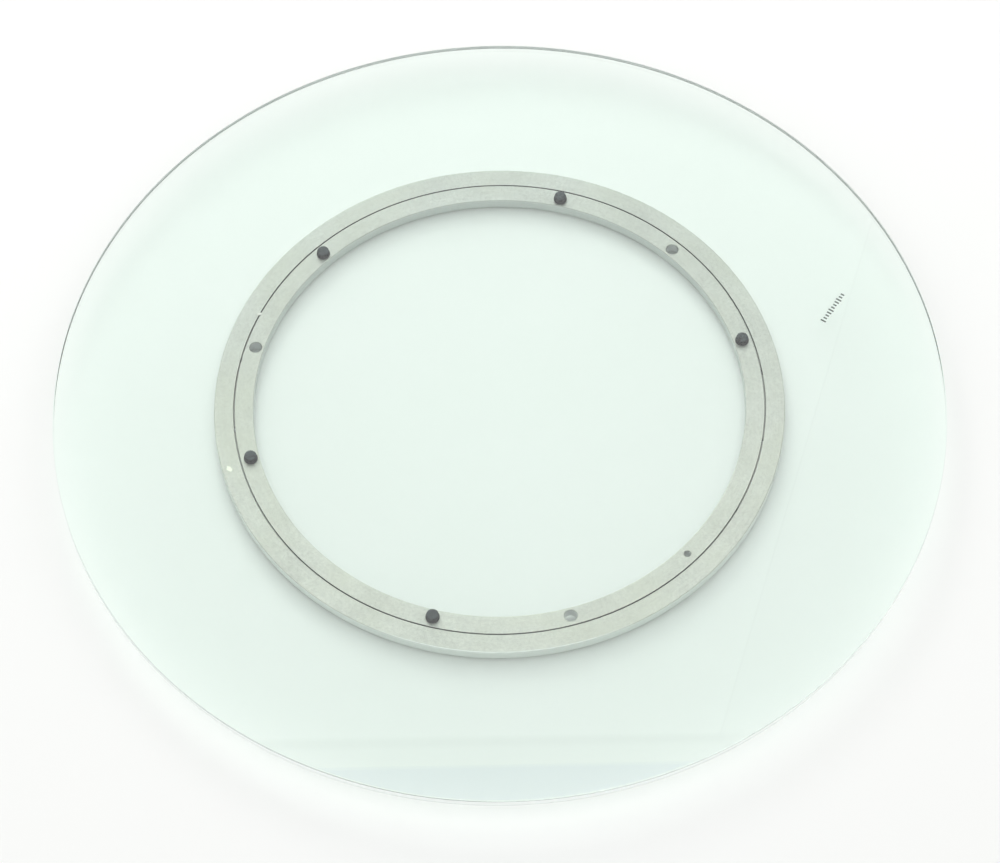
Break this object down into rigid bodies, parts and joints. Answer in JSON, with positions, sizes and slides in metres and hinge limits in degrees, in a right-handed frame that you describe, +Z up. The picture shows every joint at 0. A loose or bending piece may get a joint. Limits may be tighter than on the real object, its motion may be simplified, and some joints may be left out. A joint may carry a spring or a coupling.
{
  "type": "glass turntable on ring thrust ball bearing",
  "caption": "Round clear glass turntable plate on rubber pads over a flat aluminium ring bearing that turns on balls kept apart by spacers.",
  "frame": {"origin": "centre of the turntable, on the surface that the feet stand on", "axes": "+Z up along the spin axis of the bearing and through the middle of the glass; -Y is the side nearest the viewer in the reference view"},
  "size_m": [0.5453, 0.5454, 0.019],
  "materials": {
    "clear_glass": "clear tempered float glass, pale green, polished round edge",
    "anodised_aluminium": "fine satin, clear anodised",
    "plug_aluminium": "plain turned",
    "ball_steel": "polished bearing steel",
    "white_nylon": "matt nylon",
    "black_rubber": "matt",
    "foot_rubber": "matt"
  },
  "bodies": {
    "base": {"outer_ring": "anodised_aluminium", "filler_plug": "plug_aluminium", "foot_1": "foot_rubber", "foot_2": "foot_rubber", "foot_3": "foot_rubber", "foot_4": "foot_rubber", "foot_5": "foot_rubber", "foot_6": "foot_rubber"},
    "turntable": {"inner_ring": "anodised_aluminium", "pad_1": "black_rubber", "pad_2": "black_rubber", "pad_3": "black_rubber", "pad_4": "black_rubber", "pad_5": "black_rubber"},
    "ball_train": {"ball_01": "ball_steel", "ball_02": "ball_steel", "ball_03": "ball_steel", "ball_04": "ball_steel", "ball_05": "ball_steel", "ball_06": "ball_steel", "ball_07": "ball_steel", "ball_08": "ball_steel", "ball_09": "ball_steel", "ball_10": "ball_steel", "ball_11": "ball_steel", "ball_12": "ball_steel", "ball_13": "ball_steel", "ball_14": "ball_steel", "ball_15": "ball_steel", "ball_16": "ball_steel", "ball_17": "ball_steel", "ball_18": "ball_steel", "ball_19": "ball_steel", "ball_20": "ball_steel", "spacer_01": "white_nylon", "spacer_02": "white_nylon", "spacer_03": "white_nylon", "spacer_04": "white_nylon", "spacer_05": "white_nylon", "spacer_06": "white_nylon", "spacer_07": "white_nylon", "spacer_08": "white_nylon", "spacer_09": "white_nylon", "spacer_10": "white_nylon", "spacer_11": "white_nylon", "spacer_12": "white_nylon", "spacer_13": "white_nylon", "spacer_14": "white_nylon", "spacer_15": "white_nylon", "spacer_16": "white_nylon", "spacer_17": "white_nylon", "spacer_18": "white_nylon", "spacer_19": "white_nylon", "spacer_20": "white_nylon"},
    "glass": {"glass_top": "clear_glass"}
  },
  "joints": [
    {"name": "turntable_spin", "type": "hinge", "parent": "base", "child": "turntable", "pos_m": [0, 0, 0.00525], "axis": [0, 0, 1], "continuous": true},
    {"name": "ball_train_spin", "type": "hinge", "parent": "base", "child": "ball_train", "pos_m": [0, 0, 0.00525], "axis": [0, 0, 1], "continuous": true},
    {"name": "glass_lift", "type": "slide", "parent": "turntable", "child": "glass", "axis": [0, 0, 1], "range_m": [0, 0.08]}
  ],
  "couplings": [
    {"joint": "ball_train_spin", "follows": "turntable_spin", "ratio": 0.4957}
  ]
}
